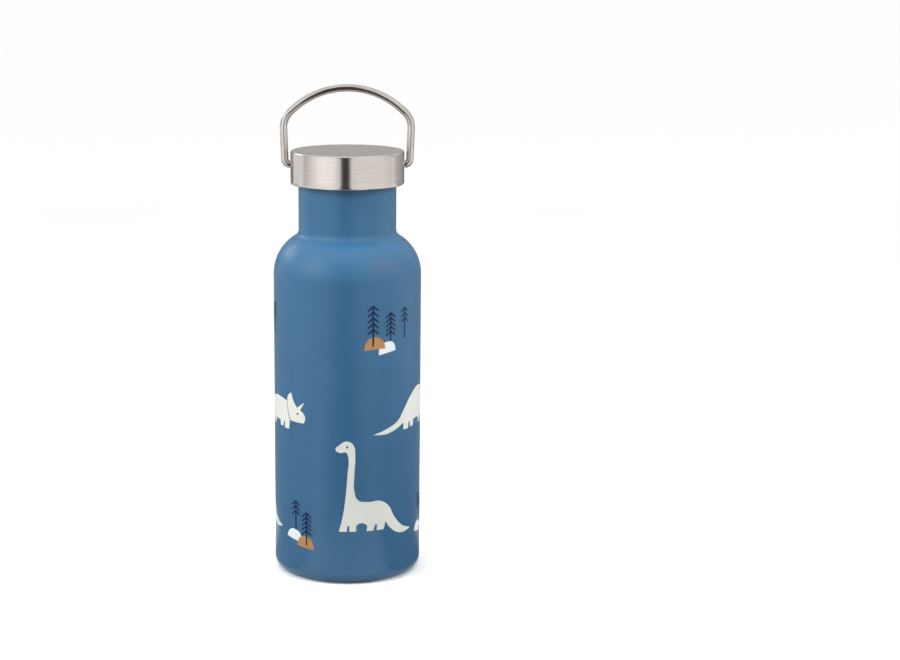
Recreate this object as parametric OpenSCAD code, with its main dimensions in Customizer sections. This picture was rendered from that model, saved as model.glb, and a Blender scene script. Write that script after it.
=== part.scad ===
// Vacuum insulated children's drinking bottle with a screw lid and a swinging wire handle.
// The bottle stands on the plane z = 0, on the axis x = y = 0, and the handle's pivots lie along x.

/* [Bottle] */
// Outside diameter of the body
body_d = 70; // [64:0.5:80]
// Height from the table to the top of the mouth's rim
rim_z = 190.9; // [160:0.1:240]
// Outside diameter of the neck
neck_d = 46.2; // [44:0.2:48]
// Length of the straight neck below the rim
neck_h = 26.4; // [22:0.1:40]
// Radius of the rounded shoulder
shoulder_r = 21; // [16:0.5:26]
// Radius of the hollow between shoulder and neck
neck_fillet_r = 3.8; // [2:0.1:6]
// Radius of the rounded edge at the base
base_corner_r = 5.6; // [4:0.1:8]

/* [Walls] */
// Thickness of the outer steel wall
outer_wall = 0.5; // [0.4:0.05:0.8]
// Thickness of the inner steel wall
liner_wall = 0.4; // [0.3:0.05:0.6]
// Gap between the two walls inside the rolled rim
rim_gap = 0.5; // [0.4:0.05:0.8]
// Width of the vacuum between the two walls
vacuum_gap = 2.1; // [1.6:0.1:4]
// Height of the vacuum under the liner, above the recess of the base
base_vacuum = 4.5; // [4:0.1:8]
// Height of the pressed base cup, up to its weld with the outer wall
base_cup_h = 9; // [7:0.5:14]
// Height of the pressed bottom of the liner, up to its weld
liner_cup_h = 7.4; // [6:0.1:12]
// Radius of the rounded edge inside the liner's bottom
liner_corner_r = 6; // [4:0.5:7]
// How far the middle of the liner's bottom is pressed up
liner_dome = 1; // [0.5:0.1:2]

/* [Base] */
// Width of the flat ring that the bottle stands on
foot_ring_w = 4.6; // [3:0.1:6]
// Depth of the recess inside the foot ring
recess_h = 2.6; // [2.2:0.1:4]
// Gap round the cover plate in the recess
plate_gap = 0.7; // [0.3:0.1:1.5]
// Thickness of the cover plate
plate_t = 0.5; // [0.4:0.1:0.8]
// Height of the cover plate above the table
plate_z = 0.9; // [0.5:0.1:1.2]
// Diameter of the hole through which the gap is evacuated
pump_hole_d = 1.9; // [1.4:0.1:3]
// Diameter of the glass bead that seals the hole
seal_d = 4.6; // [4:0.1:6]
// Thickness of the glass bead below the recess
seal_t = 0.7; // [0.5:0.1:0.8]
// Diameter of the getter pellet
getter_d = 8; // [5:0.5:10]
// Thickness of the getter pellet
getter_t = 1.6; // [1:0.1:2]
// Sheet thickness of the getter's clip
clip_t = 0.4; // [0.3:0.05:0.5]
// Distance of the getter from the bottle's axis
getter_x = 12; // [10:0.5:14]

/* [Thread] */
// Rise of the thread in one turn
thread_pitch = 4; // [3.5:0.25:5]
// Depth of the rolled thread from crest to root
thread_depth = 1.4; // [1:0.1:1.6]
// Radial gap between the two threads
thread_gap = 0.4; // [0.35:0.05:0.6]
// Length over which a thread fades out at each end
thread_run = 1.5; // [1:0.1:2]
// Distance from the rim to the top of the neck's thread
thread_lead_in = 2.4; // [2.2:0.1:4]
// Length of the thread in the neck
neck_thread_h = 10; // [8:0.5:12]
// How far the plug's thread starts below the top of the neck's thread
plug_thread_drop = 0.5; // [0.3:0.1:1]
// Sides of the circle that the threads are worked out on
thread_sides = 48; // [36:12:72]
// Rings of points in one turn of the thread
thread_rings = 8; // [6:1:10]

/* [Lid] */
// Thickness of the moulded lining inside the lid's skirt
skirt_wall = 2.45; // [2:0.05:4]
// Height of the lid's steel shell
lid_h = 15.7; // [15.5:0.1:20]
// How far the lid's skirt hangs below the rim
skirt_drop = 5; // [4:0.1:7]
// Thickness of the lid's steel shell
lid_wall = 0.5; // [0.4:0.05:0.7]
// Radius of the edge round the top of the lid
lid_edge_r = 1.1; // [0.8:0.1:2]
// Radius of the bead rolled along the skirt's lower edge
hem_r = 0.6; // [0.5:0.05:0.8]
// Gap between the skirt's lining and the neck
skirt_gap = 0.6; // [0.4:0.1:0.8]
// Gap between pieces of the lid that are pushed together
fit_gap = 0.05; // [0.03:0.01:0.1]
// Length of the plug below its thread
plug_tail = 2; // [1.6:0.1:4]
// Wall of the plug inside its thread
plug_wall = 2.2; // [1.8:0.1:3]
// Thickness of the plug's welded cover
cover_t = 1.6; // [1.2:0.1:2]
// Width of the ledge that the plug's cover sits on
cover_ledge = 0.8; // [0.5:0.1:1.2]
// Thickness of the moulding under the lid's top
core_top_t = 2.2; // [1.6:0.1:3]
// Thickness of the silicone ring
gasket_t = 1.4; // [1.2:0.1:1.5]
// How far the silicone ring stands out over the outside of the neck
gasket_over = 0.1; // [0:0.05:0.2]
// Gap between the silicone ring and the plug inside it
gasket_in_gap = 0.5; // [0.3:0.1:0.8]
// Gap between the silicone ring and what it sits in or on
gasket_gap = 0.05; // [0.03:0.01:0.1]
// Number of ribs between the pockets in each side of the moulding
pocket_count = 4; // [2:1:6]
// Thickness of the ribs
rib_t = 1.4; // [1:0.1:2]
// Thickness of the moulding outside the pockets
pocket_wall = 1.6; // [1.2:0.1:2.4]
// Thickness of the moulding under the pockets
pocket_floor = 1.6; // [1.2:0.1:2.4]
// Thickness of the moulding beside the sockets of the handle
socket_wall = 2.2; // [1.6:0.1:3]
// Thickness of the moulding between those sockets and the silicone ring
socket_floor = 0.74; // [0.6:0.02:1.5]

/* [Handle] */
// Diameter of the handle's wire
wire_d = 3.5; // [3:0.1:4.2]
// Gap between the lid and the wire at the foot of each leg
leg_gap = 0.86; // [0.3:0.02:2]
// Height from the pivots to the top of the wire
handle_h = 37.4; // [34:0.1:50]
// Length of the straight wire between the crown and each knee
slope_len = 2; // [1:0.02:8]
// Half of the angle that the crown turns through
crown_a = 42; // [30:1:46]
// Radius of the knees, along the middle of the wire
knee_r = 10; // [4:0.5:12]
// Angle by which the legs lean inwards towards the lid
leg_lean = 2; // [0:0.5:3]
// Radius of the bends into the lid, along the middle of the wire
foot_bend_r = 2.6; // [2.4:0.05:3]
// Length of wire that sits inside the lid on each side
pin_depth = 5; // [3:0.1:6]
// Radial gap round the wire in the moulding's sockets
pivot_gap = 0.06; // [0.03:0.01:0.1]
// Radial gap round the wire in the steel shell's holes
shell_hole_gap = 0.15; // [0.12:0.01:0.3]

/* [Hidden] */
$fn = 96;
arc_steps = 12;

steel = [0.78, 0.77, 0.76];
paint = [0.27, 0.43, 0.58];
plastic = [0.93, 0.92, 0.89];

body_r = body_d / 2;
neck_r = neck_d / 2;
lid_r = neck_r + skirt_gap + skirt_wall + fit_gap + lid_wall;
wire_r = wire_d / 2;

// Small steps and laps
rim_lap = 0.4;              // the outer wall runs this far up inside the rolled rim
liner_hollow_extra = 0.7;   // the liner's hollow is this much wider than the outer wall's inner face
step_r = 1;                 // height and width of the step round the recess of the base
weld_step = 0.1;            // threads stand this far from the plain lengths that they join
weld_lap = 0.4;
flange_gap = 0.4;           // between the rim and the skirt's lining above it
pin_end_gap = 0.5;          // between the tip of each pin and the end of its socket
bend_step = 0.01;           // bends of the wire are this much slimmer than its straight lengths
bend_lap = 0.1;

// The neck and shoulder of the outer wall: two arcs that touch, seen in the plane of a cut
neck_foot_z = rim_z - neck_h;
shoulder_x = body_r - shoulder_r;
hollow_x = neck_r + neck_fillet_r;
shoulder_z = neck_foot_z - sqrt(pow(shoulder_r + neck_fillet_r, 2) - pow(hollow_x - shoulder_x, 2));
shoulder_a = atan2(neck_foot_z - shoulder_z, hollow_x - shoulder_x);
rim_bead_r = (outer_wall + liner_wall + rim_gap) / 2;
shell_top_z = rim_z - 2 * rim_bead_r + rim_lap;

// The liner, inside the vacuum
liner_r = body_r - outer_wall - vacuum_gap;
thread_a = thread_depth / 2;
mouth_r = neck_r - 2 * rim_bead_r;
neck_bore_r = mouth_r - thread_a;
liner_neck_r = neck_bore_r + liner_wall;
liner_shoulder_r = liner_r - shoulder_x;
liner_fillet_r = neck_fillet_r + outer_wall + liner_hollow_extra;
liner_neck_z = shoulder_z + sqrt(pow(liner_shoulder_r + liner_fillet_r, 2)
                                 - pow(liner_neck_r + liner_fillet_r - shoulder_x, 2));
liner_shoulder_a = atan2(liner_neck_z - shoulder_z, liner_neck_r + liner_fillet_r - shoulder_x);
recess_roof_z = recess_h + outer_wall;
ring_in_r = body_r - base_corner_r - foot_ring_w;
plate_r = ring_in_r - 2 * step_r - plate_gap;
liner_bottom_z = recess_roof_z + base_vacuum;
liner_weld_z = liner_bottom_z + liner_cup_h;

// The thread, at rest with the lid screwed down
neck_thread_top = rim_z - thread_lead_in;
neck_thread_bottom = neck_thread_top - neck_thread_h;
plug_thread_top = neck_thread_top - plug_thread_drop;
plug_thread_bottom = neck_thread_bottom + thread_run;
plug_r = neck_bore_r - thread_gap;
plug_root_r = plug_r - thread_a;

// The lid, from its lower edge up
lid_z = rim_z - skirt_drop;
lid_top_z = lid_z + lid_h;
core_r = lid_r - lid_wall - fit_gap;
core_bottom_z = lid_z + 2 * hem_r + fit_gap;
core_top_z = lid_top_z - lid_wall - fit_gap;
skirt_bore_r = neck_r + skirt_gap;
flange_z = rim_z + flange_gap;
root_r = plug_root_r - weld_step;
gasket_r = neck_r + gasket_over;
gasket_w = gasket_r - root_r - gasket_in_gap;
gasket_z = rim_z + gasket_gap;
groove_z = gasket_z + gasket_t + gasket_gap;
pivot_z = groove_z + socket_floor + pivot_gap + wire_r;
plug_bore_r = root_r - plug_wall;
plug_z = plug_thread_bottom - plug_tail;
cover_r = plug_bore_r + cover_ledge;
foam_top_z = core_top_z - core_top_t;
pin_tip_x = lid_r - pin_depth;
pocket_out_r = core_r - pocket_wall;
pocket_z = groove_z + pocket_floor;
socket_boss_a = asin((wire_r + socket_wall) / root_r);

// The handle follows from the places of its feet and of its top. With legs of no length, the crown would end
// at bare_crown_x, and every millimetre of leg moves that end outwards by sin(leg_lean).
knee_end_a = 90 + leg_lean;
foot_x = lid_r + leg_gap + wire_r;
bare_crown_x = foot_x - knee_r * (cos(leg_lean) - sin(crown_a)) - slope_len * cos(crown_a);
bends_h = slope_len * sin(crown_a) + knee_r * (cos(crown_a) + sin(leg_lean))
          + foot_bend_r * (1 - sin(leg_lean));
leg_len = (handle_h - wire_r - bends_h - bare_crown_x * tan(crown_a / 2))
          / (cos(leg_lean) + sin(leg_lean) * tan(crown_a / 2));
crown_r = (bare_crown_x + leg_len * sin(leg_lean)) / sin(crown_a);

// Its joints between bends and straight lengths, from the top of the crown at x = 0 down to the pin
crown_end = [crown_r * sin(crown_a), -crown_r * (1 - cos(crown_a))];
knee_start = crown_end + slope_len * [cos(crown_a), -sin(crown_a)];
knee_end = knee_start + knee_r * [sin(knee_end_a) - sin(crown_a), cos(knee_end_a) - cos(crown_a)];
leg_end = knee_end + leg_len * [cos(knee_end_a), -sin(knee_end_a)];
pin_x = leg_end.x - foot_bend_r * sin(knee_end_a);

// Points of an arc in the plane of a cut
function arc(centre, r, from, to, steps = arc_steps) =
    [for (i = [0 : steps])
        let (a = from + (to - from) * i / steps)
        centre + r * [cos(a), sin(a)]];

function reversed(points) = [for (i = [len(points) - 1 : -1 : 0]) points[i]];

// A share from 0 to 1 that rises smoothly as s goes from 0 to run
function fade(s, run) = s <= 0 ? 0 : s >= run ? 1 : (1 - cos(180 * s / run)) / 2;

// The wave of a right-handed thread at height z and angle a
function wave(z, a) = cos(a - 360 * (z - rim_z) / thread_pitch);

// Inner face of the neck's thread: it opens to the mouth at its top and fades into the bore below
function neck_thread_r(z, a) =
    let (top = fade(neck_thread_top - z, thread_run), low = fade(z - neck_thread_bottom, thread_run))
    neck_bore_r + thread_a * (1 - top) + thread_a * top * low * wave(z, a);

// Outer face of the plug's thread: it fades into the root at both ends
function plug_thread_r(z, a) =
    let (share = fade(plug_thread_top - z, thread_run) * fade(z - plug_thread_bottom, thread_run))
    plug_r - thread_a * (1 - share) + thread_a * share * wave(z, a);

function ring_heights(low, high) =
    let (count = ceil((high - low) / thread_pitch * thread_rings))
    [for (i = [0 : count]) low + (high - low) * i / count];

function side_angle(i) = 360 * i / thread_sides;

// Quads between two neighbouring rings of points, each given by the index of its first point
function band(first, second) =
    [for (i = [0 : thread_sides - 1])
        let (j = (i + 1) % thread_sides)
        each [[first + i, first + j, second + j], [first + i, second + j, second + i]]];

// Turned shell: outer face first, then the inner face back down
module turned(outer, inner) {
    rotate_extrude() polygon(concat(outer, reversed(inner)));
}

module tube(r_out, r_in, low, high) {
    translate([0, 0, low]) difference() {
        cylinder(r = r_out, h = high - low);
        translate([0, 0, -1]) cylinder(r = r_in, h = high - low + 2);
    }
}

// Half of the bottle's outline, filled, with every face moved inwards by t
module outline(t) {
    hollow = [hollow_x, neck_foot_z];
    touch = hollow - neck_fillet_r * [cos(shoulder_a), sin(shoulder_a)];
    difference() {
        polygon([[0, touch.y - t], touch, hollow, [neck_r - t, hollow.y], [0, hollow.y]]);
        translate(hollow) circle(r = neck_fillet_r + t);
    }
    intersection() {
        translate([shoulder_x, shoulder_z]) circle(r = shoulder_r - t);
        square([body_r, neck_foot_z]);
    }
    translate([0, neck_foot_z]) square([neck_r - t, shell_top_z - neck_foot_z + 2 * t]);
    translate([0, base_cup_h - 2 * t]) square([body_r - t, shoulder_z - base_cup_h + 2 * t]);
    square([shoulder_x, neck_foot_z]);
}

module outer_shell() {
    color(paint) rotate_extrude() intersection() {
        difference() {
            outline(0);
            outline(outer_wall);
        }
        translate([shoulder_x, base_cup_h]) square([shoulder_r, shell_top_z - base_cup_h]);
    }
}

// The base cup stands on a flat ring, with a recess inside it
module outer_base() {
    corner = [body_r - base_corner_r, base_corner_r];
    heel_h = 0.3;
    color(paint) turned(
        concat([[pump_hole_d / 2, recess_h], [ring_in_r - 2 * step_r, recess_h],
                [ring_in_r - step_r, recess_h - step_r], [ring_in_r - step_r / 2, heel_h], [ring_in_r, 0]],
               arc(corner, base_corner_r, -90, 0), [[body_r, base_cup_h]]),
        concat([[pump_hole_d / 2, recess_roof_z], [ring_in_r - 2 * step_r + heel_h, recess_roof_z],
                [ring_in_r - step_r + outer_wall, recess_h - step_r + heel_h],
                [ring_in_r + outer_wall, outer_wall]],
               arc(corner, base_corner_r - outer_wall, -90, 0), [[body_r - outer_wall, base_cup_h]]));
}

// A shallow pan pressed into the recess, over the sealed hole
module base_plate() {
    color(steel) difference() {
        translate([0, 0, plate_z]) cylinder(r = plate_r, h = recess_h - plate_z);
        translate([0, 0, plate_z + plate_t]) cylinder(r = plate_r - plate_t, h = recess_h);
    }
}

module vacuum_seal() {
    seal_gap = 0.02;
    color([0.2, 0.22, 0.25]) {
        translate([0, 0, recess_h - seal_t]) cylinder(r = seal_d / 2, h = seal_t);
        translate([0, 0, recess_h]) cylinder(r = pump_hole_d / 2 - seal_gap, h = outer_wall);
    }
}

module getter_pellet() {
    color([0.35, 0.33, 0.32]) translate([getter_x, 0, recess_roof_z + clip_t])
        cylinder(r = getter_d / 2, h = getter_t);
}

// A ring of sheet on the floor of the gap, with two tongues bent over the pellet
module getter_clip() {
    ring_r = getter_d / 2 + fit_gap;
    tongue_len = 1.2;
    tongue_w = 3;
    color(steel) translate([getter_x, 0, recess_roof_z]) {
        difference() {
            cylinder(r = ring_r + clip_t, h = clip_t + getter_t + fit_gap);
            translate([0, 0, clip_t]) cylinder(r = ring_r, h = getter_t + 1);
        }
        intersection() {
            translate([0, 0, clip_t + getter_t + fit_gap]) difference() {
                cylinder(r = ring_r + clip_t, h = clip_t);
                translate([0, 0, -1]) cylinder(r = ring_r - tongue_len, h = clip_t + 2);
            }
            translate([-getter_d, -tongue_w / 2, 0]) cube([2 * getter_d, tongue_w, base_vacuum]);
        }
    }
}

// The liner's thread is rolled into its wall, so both faces follow the same wave
module neck_thread_wall() {
    heights = concat([neck_thread_bottom - weld_lap], ring_heights(neck_thread_bottom, neck_thread_top),
                     [neck_thread_top + weld_lap]);
    last = len(heights) - 1;
    inside = [for (k = [0 : last], i = [0 : thread_sides - 1])
        let (z = heights[k], a = side_angle(i),
             r = neck_thread_r(z, a) + (k < 2 || k > last - 2 ? weld_step : 0))
        [r * cos(a), r * sin(a), z]];
    outside = [for (k = [0 : last], i = [0 : thread_sides - 1])
        let (z = heights[k], a = side_angle(i),
             r = neck_thread_r(z, a) + liner_wall - (k < 2 || k > last - 2 ? weld_step / 2 : 0))
        [r * cos(a), r * sin(a), z]];
    shift = len(inside);
    inner_faces = [for (k = [0 : last - 1]) each band(k * thread_sides, (k + 1) * thread_sides)];
    outer_faces = [for (k = [0 : last - 1])
        each band(shift + (k + 1) * thread_sides, shift + k * thread_sides)];
    polyhedron(concat(inside, outside),
               concat(inner_faces, outer_faces, band(shift, 0),
                      band(last * thread_sides, shift + last * thread_sides)));
}

module inner_liner() {
    shoulder = [shoulder_x, shoulder_z];
    hollow = [liner_neck_r + liner_fillet_r, liner_neck_z];
    rim_x = neck_r - rim_bead_r;
    color(steel) {
        turned(
            concat([[liner_r, liner_weld_z]], arc(shoulder, liner_shoulder_r, 0, liner_shoulder_a),
                   arc(hollow, liner_fillet_r, 180 + liner_shoulder_a, 180),
                   [[liner_neck_r, neck_thread_bottom]]),
            concat([[liner_r - liner_wall, liner_weld_z]],
                   arc(shoulder, liner_shoulder_r - liner_wall, 0, liner_shoulder_a),
                   arc(hollow, liner_fillet_r + liner_wall, 180 + liner_shoulder_a, 180),
                   [[neck_bore_r, neck_thread_bottom]]));
        neck_thread_wall();
        turned(concat([[mouth_r + liner_wall, neck_thread_top], [mouth_r + liner_wall, shell_top_z],
                       [neck_r, shell_top_z]], arc([rim_x, rim_z - rim_bead_r], rim_bead_r, 0, 180)),
               [[mouth_r, neck_thread_top]]);
    }
}

module liner_base() {
    corner = [liner_r - liner_corner_r, liner_bottom_z + liner_corner_r];
    flat_w = 3;
    slope_w = 4;
    flat_r = corner.x - flat_w;
    dome_z = liner_bottom_z + liner_dome;
    floor_z = liner_bottom_z + liner_wall;
    shift = liner_wall * tan(atan2(liner_dome, slope_w) / 2);
    color(steel) turned(
        concat([[0, dome_z], [flat_r - slope_w, dome_z], [flat_r, liner_bottom_z]],
               arc(corner, liner_corner_r, -90, 0), [[liner_r, liner_weld_z]]),
        concat([[0, dome_z + liner_wall], [flat_r - slope_w + shift, dome_z + liner_wall],
                [flat_r + shift, floor_z]],
               arc(corner, liner_corner_r - liner_wall, -90, 0), [[liner_r - liner_wall, liner_weld_z]]));
}

module lid_gasket() {
    edge = 0.4;
    color([0.9, 0.9, 0.88]) translate([0, 0, gasket_z]) rotate_extrude()
        translate([gasket_r - gasket_w, 0]) union() {
            translate([edge, 0]) square([gasket_w - 2 * edge, gasket_t]);
            translate([0, edge]) square([gasket_w, gasket_t - 2 * edge]);
            for (x = [edge, gasket_w - edge], z = [edge, gasket_t - edge])
                translate([x, z]) circle(r = edge);
        }
}

module pivot_hole(r, from_x) {
    for (side = [0, 180]) rotate([0, 0, side])
        translate([from_x, 0, pivot_z]) rotate([0, 90, 0]) cylinder(r = r, h = lid_r);
}

// Drawn steel cup, with its lower edge rolled into a bead that holds the moulding in
module lid_shell() {
    edge = [lid_r - lid_edge_r, lid_top_z - lid_edge_r];
    hem_z = lid_z + hem_r;
    color(steel) difference() {
        union() {
            rotate_extrude() difference() {
                union() {
                    translate([0, hem_z]) square([lid_r, edge.y - hem_z]);
                    square([edge.x, lid_top_z]);
                    translate(edge) circle(r = lid_edge_r);
                }
                union() {
                    square([lid_r - lid_wall, edge.y]);
                    square([edge.x, lid_top_z - lid_wall]);
                    translate(edge) circle(r = lid_edge_r - lid_wall);
                }
            }
            rotate_extrude() translate([lid_r - hem_r, hem_z]) circle(r = hem_r);
        }
        pivot_hole(wire_r + shell_hole_gap, lid_r / 2);
    }
}

module plug_thread() {
    heights = ring_heights(plug_thread_bottom, plug_thread_top);
    last = len(heights) - 1;
    outside = [for (z = heights, i = [0 : thread_sides - 1])
        let (a = side_angle(i), r = plug_thread_r(z, a)) [r * cos(a), r * sin(a), z]];
    inside = [for (z = heights, i = [0 : thread_sides - 1])
        let (a = side_angle(i), r = plug_root_r - plug_wall / 2) [r * cos(a), r * sin(a), z]];
    shift = len(outside);
    skin = [for (k = [0 : last - 1]) each band((k + 1) * thread_sides, k * thread_sides)];
    core = [for (k = [0 : last - 1]) each band(shift + k * thread_sides, shift + (k + 1) * thread_sides)];
    polyhedron(concat(outside, inside),
               concat(skin, core, band(0, shift), band(shift + last * thread_sides, last * thread_sides)));
}

// Pockets in the top of the moulding, left solid round the pivot sockets
module core_pockets() {
    free_a = 180 - 2 * socket_boss_a;
    rib_a = 2 * asin(rib_t / 2 / root_r);
    pocket_a = (free_a - (pocket_count - 1) * rib_a) / pocket_count;
    for (side = [0, 180], i = [0 : pocket_count - 1])
        rotate([0, 0, side + socket_boss_a + i * (pocket_a + rib_a)])
            translate([0, 0, pocket_z]) rotate_extrude(angle = pocket_a)
                translate([root_r, 0]) square([pocket_out_r - root_r, core_top_z]);
}

// One moulding: disc and skirt inside the steel shell, and the threaded plug
module lid_core() {
    edge = 0.4;
    color(plastic) {
        plug_thread();
        difference() {
            rotate_extrude() polygon([
                [plug_bore_r, foam_top_z], [plug_bore_r, plug_z + cover_t], [cover_r, plug_z + cover_t],
                [cover_r, plug_z], [root_r - edge, plug_z], [root_r, plug_z + edge], [root_r, groove_z],
                [gasket_r + gasket_gap, groove_z], [gasket_r + gasket_gap, flange_z], [skirt_bore_r, flange_z],
                [skirt_bore_r, core_bottom_z], [core_r, core_bottom_z], [core_r, core_top_z - lid_edge_r],
                [core_r - lid_edge_r, core_top_z], [0, core_top_z], [0, foam_top_z]]);
            core_pockets();
            pivot_hole(wire_r + pivot_gap, pin_tip_x - pin_end_gap);
        }
    }
}

module lid_foam() {
    color([0.96, 0.95, 0.9]) translate([0, 0, plug_z + cover_t + fit_gap])
        cylinder(r = plug_bore_r - 2 * fit_gap, h = foam_top_z - plug_z - cover_t - 2 * fit_gap);
}

module plug_cover() {
    dish_h = 0.5;
    dish_rim = 3;
    color(plastic) difference() {
        translate([0, 0, plug_z]) cylinder(r = cover_r - fit_gap, h = cover_t);
        translate([0, 0, plug_z - 1]) cylinder(r = plug_bore_r - dish_rim, h = dish_h + 1);
    }
}

// A bend of the wire that turns clockwise, seen from the front, from heading "from" to heading "to"
// It is a hair slimmer than the straight lengths and runs a little way into them.
module bend(start, r, from, to) {
    centre = start - r * [sin(from), cos(from)];
    lap = asin(bend_lap / r);
    translate([centre.x, 0, centre.y]) rotate([90, 0, 0]) rotate([0, 0, 90 - to - lap])
        rotate_extrude(angle = to - from + 2 * lap) translate([r, 0]) circle(r = wire_r - bend_step);
}

module rod(start, heading, length) {
    translate([start.x, 0, start.y]) rotate([0, 90 + heading, 0]) cylinder(r = wire_r, h = length);
}

module handle_side() {
    rod(crown_end, crown_a, slope_len);
    bend(knee_start, knee_r, crown_a, knee_end_a);
    rod(knee_end, knee_end_a, leg_len);
    bend(leg_end, foot_bend_r, knee_end_a, 180);
    rod([pin_x, -(handle_h - wire_r)], 180, pin_x - pin_tip_x);
}

module handle() {
    color(steel) translate([0, 0, pivot_z + handle_h - wire_r]) {
        bend([-crown_end.x, crown_end.y], crown_r, -crown_a, crown_a);
        for (side = [0, 180]) rotate([0, 0, side]) handle_side();
    }
}

outer_shell();
outer_base();
base_plate();
vacuum_seal();
getter_pellet();
getter_clip();
inner_liner();
liner_base();
lid_gasket();
lid_shell();
lid_core();
lid_foam();
plug_cover();
handle();
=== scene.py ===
"""Looks of the insulated children's bottle: its finishes, its printed pattern and its fine shapes."""

import math

import bpy
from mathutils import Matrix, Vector


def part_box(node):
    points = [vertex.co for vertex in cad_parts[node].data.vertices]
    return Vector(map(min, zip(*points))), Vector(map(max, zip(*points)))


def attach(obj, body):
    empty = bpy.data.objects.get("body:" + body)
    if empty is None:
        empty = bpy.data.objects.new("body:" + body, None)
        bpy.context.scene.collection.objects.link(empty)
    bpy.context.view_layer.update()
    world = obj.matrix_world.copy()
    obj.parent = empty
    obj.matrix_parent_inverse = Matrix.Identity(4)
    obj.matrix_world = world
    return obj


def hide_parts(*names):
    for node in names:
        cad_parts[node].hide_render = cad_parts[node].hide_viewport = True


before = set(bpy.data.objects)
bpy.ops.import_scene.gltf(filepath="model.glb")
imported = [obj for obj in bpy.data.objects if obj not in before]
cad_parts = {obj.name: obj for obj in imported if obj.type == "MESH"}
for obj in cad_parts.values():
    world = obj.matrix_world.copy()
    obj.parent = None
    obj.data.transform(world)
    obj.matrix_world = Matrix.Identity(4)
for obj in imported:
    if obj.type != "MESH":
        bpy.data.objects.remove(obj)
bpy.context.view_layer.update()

# ---------------------------------------------------------------------------------------------------------
# Sizes, in millimetres. Those that the frame knows are read from it.
# ---------------------------------------------------------------------------------------------------------

MM = 0.001


def low(node):
    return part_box(node)[0] / MM


def high(node):
    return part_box(node)[1] / MM


BODY_R = high("outer_shell").x
RIM_Z = high("inner_liner").z
WELD_Z = low("outer_shell").z
SHELL_TOP_Z = high("outer_shell").z
OUTER_WALL = 0.5
LINER_WALL = 0.4
NECK_R = 23.1
NECK_FOOT_Z = RIM_Z - 26.4
SHOULDER_R = 21.0
HOLLOW_R = 3.8

LID_R = high("lid_shell").x
LID_Z = low("lid_shell").z
LID_TOP_Z = high("lid_shell").z
LID_WALL = 0.5
LID_EDGE_R = 1.1
HEM_R = 0.6
WIRE_HOLE_GAP = 0.15
WIRE_SOCKET_GAP = 0.06

WIRE_R = 1.75
PIVOT_Z = low("handle").z + WIRE_R

# The coat of paint lies a hair inside the finished size, and the printed inks bring it up to that size.
INK_DEPTH = 0.06

# ---------------------------------------------------------------------------------------------------------
# Modelling
# ---------------------------------------------------------------------------------------------------------


def deselect_all():
    if bpy.context.object and bpy.context.object.mode != "OBJECT":
        bpy.ops.object.mode_set(mode="OBJECT")
    bpy.ops.object.select_all(action="DESELECT")


def arc(centre, radius, start, end, steps=16):
    """Points on an arc in the plane of a cut, from one angle to another, in degrees."""
    angles = [math.radians(start + (end - start) * i / steps) for i in range(steps + 1)]
    return [(centre[0] + radius * math.cos(a), centre[1] + radius * math.sin(a)) for a in angles]


def stretch(start, end, steps):
    """Points evenly along a straight stretch, without its two ends."""
    return [
        tuple(a + (b - a) * i / steps for a, b in zip(start, end, strict=True)) for i in range(1, steps)
    ]


def apply_modifiers(piece):
    bpy.context.view_layer.objects.active = piece
    for modifier in list(piece.modifiers):
        bpy.ops.object.modifier_apply(modifier=modifier.name)


def finish_mesh(piece, angle=35, merge=0.0005):
    """Merges doubles, turns the faces outwards and smooths all but the sharp edges."""
    deselect_all()
    piece.select_set(True)
    bpy.context.view_layer.objects.active = piece
    bpy.ops.object.mode_set(mode="EDIT")
    bpy.ops.mesh.select_all(action="SELECT")
    bpy.ops.mesh.remove_doubles(threshold=merge * MM)
    bpy.ops.mesh.normals_make_consistent(inside=False)
    bpy.ops.object.mode_set(mode="OBJECT")
    bpy.ops.object.shade_smooth_by_angle(angle=math.radians(angle))
    return piece


def turned(name, outline, sides=192, angle=35):
    """A piece turned round the bottle's axis. An outline that starts and ends on the axis makes a solid,
    and any other outline closes into a ring."""
    deselect_all()
    on_axis = outline[0][0] == 0
    points = outline[1:] if on_axis else outline
    radius, height = points[0]
    bpy.ops.mesh.primitive_circle_add(
        vertices=sides,
        radius=radius * MM,
        location=(0, 0, height * MM),
        fill_type="TRIFAN" if on_axis else "NOTHING",
    )
    piece = bpy.context.object
    piece.name = name
    bpy.ops.object.transform_apply(location=True, rotation=True, scale=True)
    bpy.ops.object.mode_set(mode="EDIT")
    bpy.ops.mesh.select_all(action="SELECT")
    if on_axis:
        bpy.ops.mesh.region_to_loop()
    for next_radius, next_height in points[1:]:
        rise = (next_height - height) * MM
        share = next_radius / radius
        bpy.ops.mesh.extrude_region_move(TRANSFORM_OT_translate={"value": (0, 0, rise)})
        bpy.ops.transform.resize(value=(share, share, 1), center_override=(0, 0, next_height * MM))
        radius, height = next_radius or radius, next_height
    if points[-1][0] == 0:
        bpy.ops.mesh.merge(type="CENTER")
    else:
        bpy.ops.mesh.select_all(action="DESELECT")
        bpy.ops.mesh.select_non_manifold()
        bpy.ops.mesh.bridge_edge_loops()
    bpy.ops.object.mode_set(mode="OBJECT")
    return finish_mesh(piece, angle)


def rod_cutter(radius, start, end, sides=64):
    """A round bar along x, for cutting a hole."""
    deselect_all()
    bpy.ops.mesh.primitive_cylinder_add(
        vertices=sides,
        radius=radius * MM,
        depth=(end - start) * MM,
        location=((start + end) / 2 * MM, 0, PIVOT_Z * MM),
        rotation=(0, math.pi / 2, 0),
    )
    cutter = bpy.context.object
    bpy.ops.object.transform_apply(location=True, rotation=True, scale=True)
    return cutter


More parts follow.
